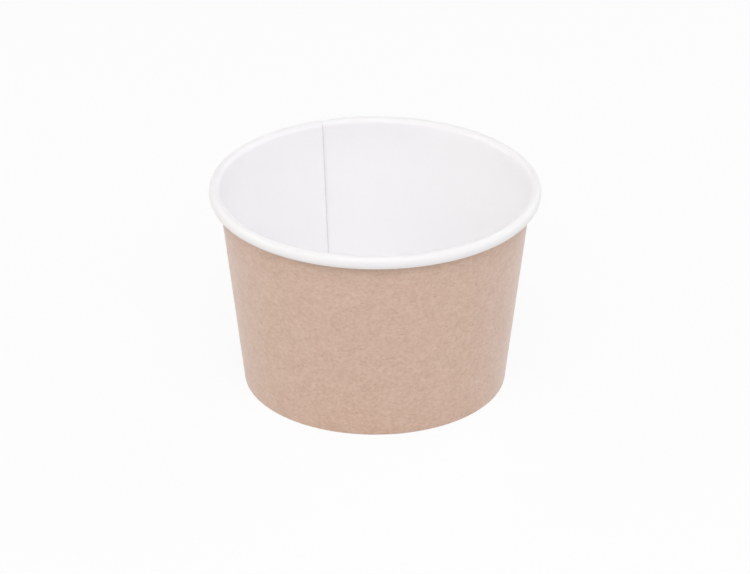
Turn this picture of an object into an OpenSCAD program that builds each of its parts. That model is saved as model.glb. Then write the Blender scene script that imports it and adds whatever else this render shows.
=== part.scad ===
// Paper soup bowl, made of two boards: a side wall wrapped into a cone, and a base.
// The wall's ends lap at a seam, its top edge is rolled outwards into a rim, and its
// bottom edge is folded in and up as a hem that holds the skirt of the base.

/* [Bowl] */
// Outer diameter over the rolled rim
rim_d = 98; // [92:0.5:120]
// Height from the foot to the top of the rim
bowl_h = 62.5; // [45:0.5:110]
// Outer diameter of the wall at the foot
foot_d = 78; // [66:0.5:86]

/* [Board] */
// Thickness of the side wall's board
wall_t = 0.4; // [0.3:0.05:0.5]
// Thickness of the base's board
base_t = 0.35; // [0.25:0.05:0.5]
// Coating left between faces that are sealed together
seal_gap = 0.03; // [0.02:0.01:0.06]

/* [Rim] */
// Diameter of the rolled rim's section
roll_d = 3.4; // [3:0.1:4.5]
// Air between the inner turn of the roll and the wall
roll_gap = 0.1; // [0.06:0.02:0.2]

/* [Foot] */
// Height of the hem inside the foot
hem_h = 5.5; // [4:0.5:12]
// Depth to which the fold is pressed flat where the bowl stands
foot_press = 0.06; // [0.03:0.01:0.1]
// Inside radius of the bend between the base and its skirt
base_bend_r = 0.6; // [0.4:0.1:1.5]
// Height of that bend above the hem's edge
base_clear = 0.3; // [0.1:0.1:2]
// Height of the skirt's edge above the fold
skirt_clear = 0.3; // [0.1:0.1:1]

/* [Seam] */
// Direction of the seam's inner edge, in degrees from +X
seam_angle = 110; // [0:1:359]
// Width over which the wall's ends overlap
seam_lap = 8; // [5:0.5:14]
// Width over which the outer end climbs on to the inner one
seam_rise = 4; // [3:0.5:6]
// Depth by which the lapped boards are pressed together
seam_press = 0.1; // [0.05:0.05:0.2]

/* [Hidden] */
$fn = 96;

kraft = [0.80, 0.69, 0.62];
white = [0.95, 0.94, 0.94];

// The section is drawn in the wall's own frame: its origin is the centre of the roll,
// x points out of the wall and y up along it.
roll_r = roll_d / 2;
roll_x = rim_d / 2 - roll_r;
roll_z = bowl_h - roll_r;
turn_r = roll_r - wall_t - roll_gap;
wall_in = -roll_r;
wall_out = wall_in + wall_t;

// Lean of a wall whose outer face meets the foot's diameter at the table
wall_run = roll_x - foot_d / 2;
lean = atan2(wall_run, roll_z) - asin(-wall_out / norm([wall_run, roll_z]));

// The fold wraps the skirt of the base, and its lowest point is pressed into the table
fold_r = wall_t + seal_gap + base_t / 2;
fold_x = wall_out - fold_r;
wall_len = (roll_z - fold_x * sin(lean) - fold_r + foot_press) / cos(lean);
hem_len = (hem_h - fold_r) / cos(lean);

// The base's bend starts where the skirt leaves the hem
bend_r = base_bend_r + base_t;
bend_x = wall_in - seal_gap - bend_r;
bend_y = -wall_len + hem_len + base_clear;
skirt_len = hem_len + base_clear - skirt_clear;
base_r = roll_x + bend_x * cos(lean) + bend_y * sin(lean);
base_z = roll_z - bend_x * sin(lean) + bend_y * cos(lean);

// The outer end of the wall climbs a step along a plane, and runs from the fold to just under the roll
seam_step = wall_t - seam_press;
lap_out = wall_out + seam_step;
lap_foot = -wall_len - fold_r / 3;
lap_top = turn_r - roll_r - sqrt(turn_r * turn_r - lap_out * lap_out) - roll_gap;
mid_r = roll_x - wall_len * sin(lean) / 2;
rise_angle = atan((seam_step + seam_rise * seam_rise / (2 * mid_r)) / seam_rise);
rise_deg = asin(seam_rise / mid_r);
lap_deg = 2 * asin(seam_lap / (2 * mid_r));

// Band of board between two radii
module ring(outer_r, inner_r) {
    difference() {
        circle(outer_r);
        circle(inner_r);
    }
}

// Board upright in the wall's frame
module strip(x, y, thick, length) {
    translate([x, y]) square([thick, length]);
}

module in_wall_frame() {
    translate([roll_x, roll_z]) rotate(-lean) children();
}

// Outer turn over three quarters, inner turn over a half
module rolled_rim() {
    difference() {
        ring(roll_r, roll_r - wall_t);
        translate([-roll_d, -roll_d]) square(roll_d);
    }
    translate([0, turn_r - roll_r]) difference() {
        ring(turn_r, turn_r - wall_t);
        translate([0, -roll_d]) square([roll_d, 2 * roll_d]);
    }
}

// Half turn under the skirt, then the hem
module folded_foot() {
    translate([fold_x, -wall_len]) difference() {
        ring(fold_r, fold_r - wall_t);
        translate([-2 * fold_r, 0]) square(4 * fold_r);
    }
    strip(fold_x - fold_r, -wall_len, wall_t, hem_len);
}

module wall_section() {
    intersection() {
        in_wall_frame() {
            rolled_rim();
            strip(wall_in, -wall_len, wall_t, wall_len);
            folded_foot();
        }
        square([rim_d, bowl_h]);
    }
}

// Outer end of the wall, sealed to the face of the inner end
module lap_section() {
    in_wall_frame() strip(lap_out - wall_t, lap_foot, wall_t, lap_top - lap_foot);
}

// Frame at the foot of the seam's step, turned to the plane of the climb
module in_seam_frame() {
    rotate(seam_angle) translate([roll_x, 0, roll_z]) rotate([0, lean, 0])
        translate([wall_in + seam_step, 0, 0]) rotate(-rise_angle) children();
}

module outer_end() {
    difference() {
        rotate(seam_angle - 1.5 * rise_deg) rotate_extrude(angle = lap_deg + 1.5 * rise_deg) lap_section();
        in_seam_frame() translate([wall_t, -2 * seam_rise, -bowl_h])
            cube([roll_d, 3 * seam_rise, 2 * bowl_h]);
    }
}

// Step down from the inner end's cut edge to the outer end, from the base up to the roll
module inner_step() {
    in_seam_frame() translate([-2 * wall_t, -2 * seam_rise, bend_y])
        cube([2 * wall_t, 2 * seam_rise, -wall_t - bend_y]);
}

module side_wall() {
    color(kraft) difference() {
        union() {
            rotate_extrude() wall_section();
            outer_end();
        }
        inner_step();
    }
}

// Half of the flat disc, the bend at its edge, and the skirt along the wall
module base_section() {
    translate([0, base_z + base_bend_r]) square([base_r, base_t]);
    translate([base_r, base_z]) {
        difference() {
            ring(bend_r, base_bend_r);
            translate([-4 * bend_r, -2 * bend_r]) square(4 * bend_r);
            rotate(-lean) translate([-2 * bend_r, -4 * bend_r]) square(4 * bend_r);
        }
        rotate(-lean) strip(base_bend_r, -skirt_len, base_t, skirt_len);
    }
}

module base_disc() {
    color(white) rotate_extrude() base_section();
}

side_wall();
base_disc();
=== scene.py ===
from math import asin, atan2, cos, hypot, pi, radians, sin

import bmesh
import bpy
import numpy as np
from mathutils import Euler, Matrix, Vector


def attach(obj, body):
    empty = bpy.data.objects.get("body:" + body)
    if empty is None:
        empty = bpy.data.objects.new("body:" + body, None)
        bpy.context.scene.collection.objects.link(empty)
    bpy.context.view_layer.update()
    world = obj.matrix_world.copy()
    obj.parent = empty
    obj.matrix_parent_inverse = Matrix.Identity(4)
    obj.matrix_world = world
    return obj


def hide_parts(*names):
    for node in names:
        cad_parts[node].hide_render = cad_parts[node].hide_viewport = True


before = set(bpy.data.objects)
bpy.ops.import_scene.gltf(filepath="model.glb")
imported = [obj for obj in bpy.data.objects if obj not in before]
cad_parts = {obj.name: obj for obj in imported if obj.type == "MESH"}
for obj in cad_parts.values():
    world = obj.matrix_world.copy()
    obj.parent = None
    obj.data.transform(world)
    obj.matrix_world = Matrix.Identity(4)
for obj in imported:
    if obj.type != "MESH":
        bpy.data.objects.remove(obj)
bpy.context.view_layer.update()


# Side wall: one board, kraft outside and coated white inside, cut to a strip and wrapped into a
# cone. Its ends lap and are heat-sealed, its top edge is curled outwards into the rim, and its
# bottom edge is folded in and up as a hem that grips the skirt of the base.
mm = 0.001
rim_r = 49 * mm
bowl_h = 62.5 * mm
foot_r = 39 * mm
board_t = 0.4 * mm
base_t = 0.35 * mm
seal_gap = 0.03 * mm
roll_r = 1.7 * mm
hem_h = 5.5 * mm
foot_press = 0.06 * mm

# The board's section is laid out in the wall's own frame: its origin is the centre of the roll,
# x points out of the wall and y up along it.
roll_x = rim_r - roll_r
roll_z = bowl_h - roll_r
flare = roll_x - foot_r
lean = atan2(flare, roll_z) - asin((roll_r - board_t) / hypot(flare, roll_z))
fold_r = seal_gap + base_t / 2
fold_x = -roll_r - fold_r
wall_len = (roll_z - fold_x * sin(lean) - fold_r - board_t + foot_press) / cos(lean)
hem_len = (hem_h - fold_r - board_t) / cos(lean)

# The roll is an upright oval of four arcs: pressed in at its sides, tighter at its top and bottom.
# The end of the board is curled up inside it.
oval_half_width = 1.62 * mm
oval_half_height = 1.93 * mm
oval_drop = 0.24 * mm
oval_side_r = 2.5 * mm
side_turn = 2 * atan2(oval_side_r - oval_half_width, oval_side_r - oval_half_height) - pi / 2
oval_end_r = oval_side_r - (oval_side_r - oval_half_width) / cos(side_turn)
end_turn = pi / 2 - side_turn
curl_r = 0.9 * mm
stretches = [  # length, turn to the left, rows of faces
    (hem_len, 0, 6),                                   # hem
    (pi * fold_r, pi, 12),                             # fold
    (wall_len - oval_drop, 0, 20),                     # wall
    (side_turn * oval_side_r, -side_turn, 4),          # roll, inner side
    (2 * end_turn * oval_end_r, -2 * end_turn, 18),    # roll, top
    (2 * side_turn * oval_side_r, -2 * side_turn, 6),  # roll, outer side
    (end_turn * oval_end_r, -end_turn, 9),             # roll, bottom
    (pi * curl_r, -pi, 12),                            # curl inside the roll
]
stretch_rows = [rows for length, turn, rows in stretches]
stretch_ends = np.cumsum([0] + [length for length, turn, rows in stretches])
wall_from, wall_to = stretch_ends[2:4]


def board_section(run):
    """The board this far up from the hem's edge: a point on its white face, and the way from
    there to its kraft face."""
    at = Vector((fold_x - fold_r, hem_len - wall_len))
    heading = -pi / 2
    for length, turn, rows in stretches:
        part = min(run, length)
        ahead = heading + turn * part / length
        if turn:
            at += Vector((sin(ahead) - sin(heading), cos(heading) - cos(ahead))) * length / turn
        else:
            at += Vector((cos(heading), sin(heading))) * part
        heading = ahead
        run -= part
        if run <= 0:
            break
    return at, Vector((sin(heading), -cos(heading)))


def ease(value, start, end):
    """0 before start, 1 after end, and smooth between them."""
    t = min(max((value - start) / (end - start), 0), 1)
    return t * t * (3 - 2 * t)


# The strip starts at the cut edge that shows inside the bowl. Its far end climbs outwards just
# before that edge, and lies sealed behind the first stretch of the strip.
columns_per_turn = 480
lap_columns = 14
seam_turn = radians(110.35)
seam_rise = 4.5 * mm
lap_fade = 3 * mm
mean_r = roll_x - wall_len * sin(lean) / 2
turn_len = 2 * pi * mean_r
strip_len = turn_len * (1 + lap_columns / columns_per_turn)
lap_len = strip_len - turn_len

# Both layers of the lap are pressed thinner, most of all in the fold and in the roll.
press_reach = 3 * mm
press_at = [wall_from, wall_from + press_reach, wall_to - press_reach, wall_to]
press_to = [0.5, 0.8, 0.8, 0.6]

# The hem is knurled: upright grooves press it onto the skirt.
grooves = 120
groove_depth = 0.28
groove_start = (0.3 * mm, 1.2 * mm)
groove_end = (hem_len - 1 * mm, hem_len)


def pile_depth(arc, run, share):
    """Depth below the bowl's inner face of a point at this share of the board's thickness."""
    climb = ease(arc, turn_len - seam_rise, turn_len)
    lapped = max(climb, 1 - ease(arc, lap_len, lap_len + lap_fade))
    pressed = float(np.interp(run, press_at, press_to))
    knurl = ease(run, *groove_start) * (1 - ease(run, *groove_end))
    knurl *= 0.5 + 0.5 * cos(grooves * arc / mean_r)
    thickness = board_t * (1 - lapped * (1 - pressed)) * (1 - groove_depth * knurl)
    return climb * (board_t * pressed + seal_gap) + share * thickness


def wrapped(arc, run, share):
    """Where a point of the flat strip ends up on the bowl, whose foot is pressed flat."""
    at, out = board_section(run)
    at = at + out * pile_depth(arc, run, share)
    radius = roll_x + at.x * cos(lean) + at.y * sin(lean)
    height = roll_z - at.x * sin(lean) + at.y * cos(lean)
    turn = seam_turn + arc / mean_r
    return Vector((radius * cos(turn), radius * sin(turn), max(height, 0)))


bm = bmesh.new()
rows_across = sum(stretch_rows)
row_ends = np.cumsum([0] + stretch_rows)
bmesh.ops.create_grid(bm, x_segments=columns_per_turn + lap_columns, y_segments=rows_across,
                      size=0.5)
for v in bm.verts:
    run = np.interp((v.co.y + 0.5) * rows_across, row_ends, stretch_ends)
    v.co = Vector(((v.co.x + 0.5) * strip_len, run, 0))
bmesh.ops.solidify(bm, geom=bm.faces[:], thickness=-board_t)
bmesh.ops.recalc_face_normals(bm, faces=bm.faces[:])
bm.normal_update()
lowest = min(v.co.z for v in bm.verts)
bmesh.ops.translate(bm, verts=bm.verts[:], vec=(0, 0, -lowest))
cut_bevel = 0.09 * mm
cut_edges = [e for e in bm.edges if e.calc_face_angle(0) > radians(45)]
bmesh.ops.bevel(bm, geom=cut_edges, offset=cut_bevel, segments=2, profile=0.5, affect="EDGES",
                material=-1)
white_face, kraft_face, cut_face = range(3)
level = 0.99  # faces less level than this belong to the cut edges
for f in bm.faces:
    f.smooth = True
    f.material_index = kraft_face if f.normal.z > 0 else white_face
    if abs(f.normal.z) < level:
        f.material_index = cut_face
for e in bm.edges:
    e.smooth = len({f.material_index for f in e.link_faces}) == 1

# For the baked picture the strip stays flat: the kraft face in two rows, the white face below them
# at half the size, and the cut edges in narrow bands, drawn thicker than they are.
picture = bm.loops.layers.uv.new("OFBake")
half_len = strip_len / 2
strip_w = stretch_ends[-1]
band_gap = 2 * mm
edge_zoom = 5
edge_bands = 4
white_row = 2 * (strip_w + band_gap)
edge_row = white_row + strip_w / 2 + band_gap
picture_size = (half_len + 3 * band_gap, edge_row + edge_bands * edge_zoom * board_t + band_gap)
for f in bm.faces:
    middle = f.calc_center_median()
    far_half = int(middle.x > half_len)
    at_end = middle.x < board_t or middle.x > strip_len - board_t
    for corner in f.loops:
        arc, run, depth = corner.vert.co
        if f.material_index == kraft_face:
            place = (arc - far_half * half_len, run + far_half * (strip_w + band_gap))
        elif f.material_index == white_face:
            place = (arc / 2, run / 2 + white_row)
        elif at_end:
            place = (half_len + (far_half + 0.5) * band_gap + edge_zoom * depth, run)
        else:
            band = 2 * far_half + int(middle.y > strip_w / 2)
            place = (arc - far_half * half_len, edge_row + edge_zoom * (band * board_t + depth))
        corner[picture].uv = (place[0] / picture_size[0], place[1] / picture_size[1])

# Each point keeps its place on the flat sheet, in mm, which the fibres follow.
on_board = bm.verts.layers.float_vector.new("on_board")
for v in bm.verts:
    v[on_board] = v.co / mm
    v.co = wrapped(v.co.x, v.co.y, v.co.z / board_t)


def new_object(name, bm):
    """An object of the finished mesh, at the origin."""
    mesh = bpy.data.meshes.new(name)
    bm.to_mesh(mesh)
    bm.free()
    made = bpy.data.objects.new(name, mesh)
    bpy.context.collection.objects.link(made)
    return made


wall_board = new_object("wall_board", bm)


def add_node(tree, kind, **values):
    """A node with its values: set_x is its property x, in_3 its socket 3, and any other name its
    socket of that name. A value that is a socket is linked. Properties come first."""
    made = tree.nodes.new(kind)
    for name, value in values.items():
        if name.startswith("set_"):
            setattr(made, name.removeprefix("set_"), value)
            continue
        numbered = name.startswith("in_")
        socket = made.inputs[int(name.removeprefix("in_")) if numbered else name.replace("_", " ")]
        if isinstance(value, bpy.types.NodeSocket):
            tree.links.new(value, socket)
        else:
            socket.default_value = value
    return made


def larger(tree, first, second):
    """The larger of two values."""
    made = add_node(tree, "ShaderNodeMath", set_operation="MAXIMUM", in_0=first, in_1=second)
    return made.outputs[0]


def colour_mix(tree, factor, first, second):
    """The colour between two others, each a value or a socket."""
    made = add_node(tree, "ShaderNodeMix", set_data_type="RGBA",
                    in_0=factor, in_6=first, in_7=second)
    return made.outputs[2]


# Fibres of the board, as they lie in the sheet: fine speckle drawn out round the bowl, cloudy
# formation, and single dark fibres.
fibres = bpy.data.node_groups.new("board_fibres", "ShaderNodeTree")
fibres.interface.new_socket("On Board", in_out="INPUT", socket_type="NodeSocketVector")
for name in ("Speckle", "Cloud", "Fleck"):
    fibres.interface.new_socket(name, in_out="OUTPUT", socket_type="NodeSocketFloat")
on_sheet = add_node(fibres, "NodeGroupInput").outputs["On Board"]
drawn_out = add_node(fibres, "ShaderNodeMapping", Vector=on_sheet, Scale=(0.68, 0.80, 1))
speckle = add_node(fibres, "ShaderNodeTexNoise", Vector=drawn_out.outputs[0],
                   Scale=1.45, Detail=3, Roughness=0.58)
cloud = add_node(fibres, "ShaderNodeTexNoise", Vector=drawn_out.outputs[0],
                 Scale=0.26, Detail=2, Roughness=0.65)
masks = []
for degrees, offset in ((14, 0), (-32, 37), (64, 91)):
    slanted = add_node(fibres, "ShaderNodeMapping", Vector=on_sheet, Scale=(0.5, 3.2, 1),
                       Location=(offset, offset, 0), Rotation=(0, 0, radians(degrees)))
    strands = add_node(fibres, "ShaderNodeTexNoise", Vector=slanted.outputs[0],
                       Scale=1.0, Detail=1)
    mask = add_node(fibres, "ShaderNodeMapRange", Value=strands.outputs[0],
                    From_Min=0.69, From_Max=0.78)
    masks.append(mask.outputs[0])
fleck = larger(fibres, larger(fibres, masks[0], masks[1]), masks[2])
add_node(fibres, "NodeGroupOutput", Speckle=speckle.outputs[0], Cloud=cloud.outputs[0], Fleck=fleck)

speckle_range = {"From_Min": 0.3, "From_Max": 0.7}


def board_material(name, smoothest, roughest):
    """A material of the board, its nodes, its Principled shader, and the sheet's fibres in it."""
    made = bpy.data.materials.new(name)
    made.use_nodes = True
    tree = made.node_tree
    shader = tree.nodes["Principled BSDF"]
    place = add_node(tree, "ShaderNodeAttribute", set_attribute_name="on_board")
    sheet = add_node(tree, "ShaderNodeGroup", set_node_tree=fibres,
                     On_Board=place.outputs["Vector"]).outputs
    finish = add_node(tree, "ShaderNodeMapRange", Value=sheet["Speckle"], **speckle_range,
                      To_Min=smoothest, To_Max=roughest)
    tree.links.new(finish.outputs[0], shader.inputs["Roughness"])
    return made, tree, shader, sheet


def over_roll(tree, start, end):
    """0 on the wall, rising to 1 between two distances in mm past the beginning of the roll."""
    place = add_node(tree, "ShaderNodeAttribute", set_attribute_name="on_board")
    across = add_node(tree, "ShaderNodeSeparateXYZ", Vector=place.outputs["Vector"])
    mask = add_node(tree, "ShaderNodeMapRange", Value=across.outputs["Y"],
                    From_Min=wall_to / mm + start, From_Max=wall_to / mm + end)
    return mask.outputs[0]


# White coat: a thin smooth film. Over the top and outer side of the roll its colour is painted a
# little greyer, as painted shade.
coat_white = (0.955, 0.949, 0.957, 1), (0.935, 0.927, 0.936, 1)
painted_shade_white = (0.9, 0.893, 0.893, 1)
white_coat, tree, shader, sheet = board_material("white_coat", smoothest=0.38, roughest=0.46)
tint = colour_mix(tree, sheet["Cloud"], *coat_white)
# Painted shade: from just past the roll's inner side, over its top and outer side, the coat is
# coloured greyer than on the wall.
roll_painted_shade = colour_mix(tree, over_roll(tree, start=0.3, end=2.2), tint, painted_shade_white)
film = add_node(tree, "ShaderNodeBump", Strength=0.25, Distance=0.1 * mm, Height=sheet["Speckle"])
tree.links.new(roll_painted_shade, shader.inputs["Base Color"])
tree.links.new(film.outputs[0], shader.inputs["Normal"])

# Kraft: unbleached fibres, darker and lighter in grain and clouds, with a soft nap.
kraft_grain = (0.571, 0.363, 0.266, 1), (0.721, 0.551, 0.450, 1)
kraft_cloud = (0.522, 0.334, 0.248, 1), (0.770, 0.582, 0.463, 1)
fibre_brown = (0.396, 0.259, 0.188, 1)
grain_share = 0.62
fibre_share = 0.65
kraft, tree, shader, sheet = board_material("kraft_face", smoothest=0.78, roughest=0.92)
shader.inputs["Sheen Weight"].default_value = 0.55
shader.inputs["Sheen Roughness"].default_value = 0.45
contrast = add_node(tree, "ShaderNodeMapRange", Value=sheet["Speckle"], **speckle_range)
grain = colour_mix(tree, contrast.outputs[0], *kraft_grain)
clouded = colour_mix(tree, sheet["Cloud"], *kraft_cloud)
blended = colour_mix(tree, grain_share, clouded, grain)
flecked = add_node(tree, "ShaderNodeMath", set_operation="MULTIPLY",
                   in_0=sheet["Fleck"], in_1=fibre_share)
flecks = colour_mix(tree, flecked.outputs[0], blended, fibre_brown)
nap = add_node(tree, "ShaderNodeBump", Strength=0.5, Distance=0.22 * mm, Height=sheet["Speckle"])
tree.links.new(flecks, shader.inputs["Base Color"])
tree.links.new(nap.outputs[0], shader.inputs["Normal"])

# Raw edge: the brown inside of the board where it is cut, with coating smeared over it on the roll.
edge_brown = (0.26, 0.185, 0.125, 1), (0.49, 0.35, 0.255, 1)
edge_smeared = (0.72, 0.69, 0.66, 1)
raw_edge, tree, shader, sheet = board_material("raw_edge", smoothest=0.9, roughest=1.0)
layers = colour_mix(tree, sheet["Speckle"], *edge_brown)
smeared = colour_mix(tree, over_roll(tree, start=0.3, end=1.6), layers, edge_smeared)
tree.links.new(smeared, shader.inputs["Base Color"])

for finish in (white_coat, kraft, raw_edge):
    wall_board.data.materials.append(finish)
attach(wall_board, "root")
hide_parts("side_wall")


# Base: a round board, coated white above and kraft below, with its edge bent down as a skirt.
# The skirt stands between the wall and the hem and is sealed to both.
base_bend_r = 0.6 * mm
base_clear = 0.3 * mm
skirt_clear = 0.3 * mm
crown = 0.12 * mm
base_rings = 24
bend_rings = 8
skirt_rings = 4
base_columns = 240
bend_r = base_bend_r + base_t
bend_x = -roll_r - seal_gap - bend_r
bend_y = hem_len - wall_len + base_clear
skirt_len = hem_len + base_clear - skirt_clear
base_r = roll_x + bend_x * cos(lean) + bend_y * sin(lean)
base_z = roll_z - bend_x * sin(lean) + bend_y * cos(lean)

bm = bmesh.new()
tip = bm.verts.new((0, 0, base_z + bend_r))
for ring in range(base_rings):
    tip = bmesh.ops.extrude_vert_indiv(bm, verts=[tip])["verts"][0]
    tip.co.x += base_r / base_rings
for v in bm.verts:
    v.co.z += crown * (1 - (v.co.x / base_r) ** 2) ** 2
bend = bmesh.ops.spin(bm, geom=[tip], cent=(base_r, 0, base_z), axis=(0, 1, 0),
                      angle=pi / 2 + lean, steps=bend_rings)
tip = [g for g in bend["geom_last"] if isinstance(g, bmesh.types.BMVert)][0]
for ring in range(skirt_rings):
    tip = bmesh.ops.extrude_vert_indiv(bm, verts=[tip])["verts"][0]
    tip.co += Vector((-sin(lean), 0, -cos(lean))) * skirt_len / skirt_rings
bmesh.ops.spin(bm, geom=bm.verts[:] + bm.edges[:], cent=(0, 0, 0), axis=(0, 0, 1), angle=2 * pi,
               steps=base_columns, use_merge=True)
bmesh.ops.remove_doubles(bm, verts=bm.verts[:], dist=0.001 * mm)
bmesh.ops.recalc_face_normals(bm, faces=bm.faces[:])
bm.normal_update()

# The coated side faces up, and the thickness goes down from it. The fibres follow the base's own
# place in the bowl, which is nearly its place on the flat sheet.
if max(bm.faces, key=lambda f: f.calc_center_median().z).normal.z < 0:
    bmesh.ops.reverse_faces(bm, faces=bm.faces[:])
for f in bm.faces:
    f.smooth = True
on_board = bm.verts.layers.float_vector.new("on_board")
for v in bm.verts:
    v[on_board] = v.co / mm
base = new_object("base_board", bm)
for finish in (white_coat, kraft, raw_edge):
    base.data.materials.append(finish)
thick = base.modifiers.new("board", "SOLIDIFY")
thick.thickness = base_t
thick.offset = -1
thick.use_even_offset = True
thick.material_offset = kraft_face
thick.material_offset_rim = cut_face
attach(base, "root")
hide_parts("base_disc")


# Floor: a plain white sheet under the bowl. To the camera it is mostly as bright as the paper
# white behind it, and keeps part of its own shade, so that the bowl's shadow stays.
floor_r = 2.5
floor_colour = (0.88, 0.88, 0.88, 1)
paper_white = (1, 1, 1, 1)
glow_share = 0.9


def seen(tree):
    """1 for what the camera sees, also in a reflection or through glass, and 0 for other light."""
    path = add_node(tree, "ShaderNodeLightPath").outputs
    shown = larger(tree, path["Is Camera Ray"], path["Is Glossy Ray"])
    return larger(tree, shown, path["Is Transmission Ray"])


bm = bmesh.new()
bmesh.ops.create_circle(bm, cap_ends=True, segments=96, radius=floor_r)
floor = new_object("floor", bm)
floor_white = bpy.data.materials.new("floor_white")
floor_white.use_nodes = True
tree = floor_white.node_tree
tree.nodes.clear()
matt = add_node(tree, "ShaderNodeBsdfDiffuse", Color=floor_colour)
glow = add_node(tree, "ShaderNodeEmission", Color=paper_white, Strength=1.0)
part = add_node(tree, "ShaderNodeMath", set_operation="MULTIPLY", in_0=seen(tree), in_1=glow_share)
mixed = add_node(tree, "ShaderNodeMixShader",
                 in_0=part.outputs[0], in_1=matt.outputs[0], in_2=glow.outputs[0])
add_node(tree, "ShaderNodeOutputMaterial", Surface=mixed.outputs[0])
floor.data.materials.append(floor_white)


# Light: a dim white surround and large soft lamps, far off: three in front, one above, one at each
# side and two behind. Those on the left are slightly warm, those on the right slightly cool.
surround_level = 0.05
world = bpy.data.worlds.new("surround")
bpy.context.scene.world = world
world.use_nodes = True
tree = world.node_tree
surround = tree.nodes["Background"]
strength = add_node(tree, "ShaderNodeMapRange", Value=seen(tree), To_Min=surround_level, To_Max=1.0)
tree.links.new(strength.outputs[0], surround.inputs["Strength"])
surround.inputs["Color"].default_value = paper_white

lamp_size = 0.8
bowl_middle = Vector((0, 0, bowl_h / 2))


def soft_lamp(name, place, power, colour):
    """A square lamp that faces the middle of the bowl."""
    data = bpy.data.lights.new(name, "AREA")
    data.shape = "SQUARE"
    data.size = lamp_size
    data.energy = power
    data.color = colour
    lamp = bpy.data.objects.new(name, data)
    lamp.location = place
    lamp.rotation_euler = (bowl_middle - Vector(place)).to_track_quat("-Z", "Y").to_euler()
    bpy.context.collection.objects.link(lamp)


soft_lamp("front_lamp", (0, -0.84, 0.955), 6.45, (1, 0.98, 0.984))
soft_lamp("front_left_lamp", (-0.75, -0.75, 0.69), 2.45, (1, 0.985, 0.955))
soft_lamp("front_right_lamp", (0.75, -0.75, 0.69), 3.0, (0.968, 0.98, 1))
soft_lamp("top_lamp", (0, -0.32, 1.24), 2.4, (1, 0.995, 1))
soft_lamp("left_panel", (-1.17, 0, 0.46), 3.8, (1, 0.985, 0.97))
soft_lamp("right_panel", (1.17, 0, 0.46), 2.55, (0.963, 0.972, 1))
soft_lamp("left_back_panel", (-0.724, 0.724, 0.747), 2.5, (1, 0.993, 0.991))
soft_lamp("right_back_panel", (0.724, 0.724, 0.747), 4.1, (0.974, 0.971, 1))


# Camera: far in front of the bowl with a long lens, looking down on it as the photograph does. It
# nods and tilts by a tenth of a degree, as the bowl's place in the photograph asks.
image_width = 750
focal_px = 4150.04
sensor_width = 36
distance = 25.164 * rim_r
elevation = radians(27.1)
nod = radians(-0.109)
tilt = radians(0.08)
camera_data = bpy.data.cameras.new("camera")
camera_data.sensor_fit = "HORIZONTAL"
camera_data.sensor_width = sensor_width
camera_data.lens = sensor_width * focal_px / image_width
camera_data.clip_start = 0.01
camera = bpy.data.objects.new("camera", camera_data)
bpy.context.collection.objects.link(camera)
aim = Euler((pi / 2 - elevation, 0, 0)).to_matrix()
aim = aim @ Matrix.Rotation(nod, 3, "X") @ Matrix.Rotation(tilt, 3, "Z")
camera.rotation_euler = aim.to_euler()
camera.location = (0, -distance * cos(elevation), bowl_h / 2 + distance * sin(elevation))
bpy.context.scene.camera = camera
bpy.context.scene.view_settings.view_transform = "Standard"
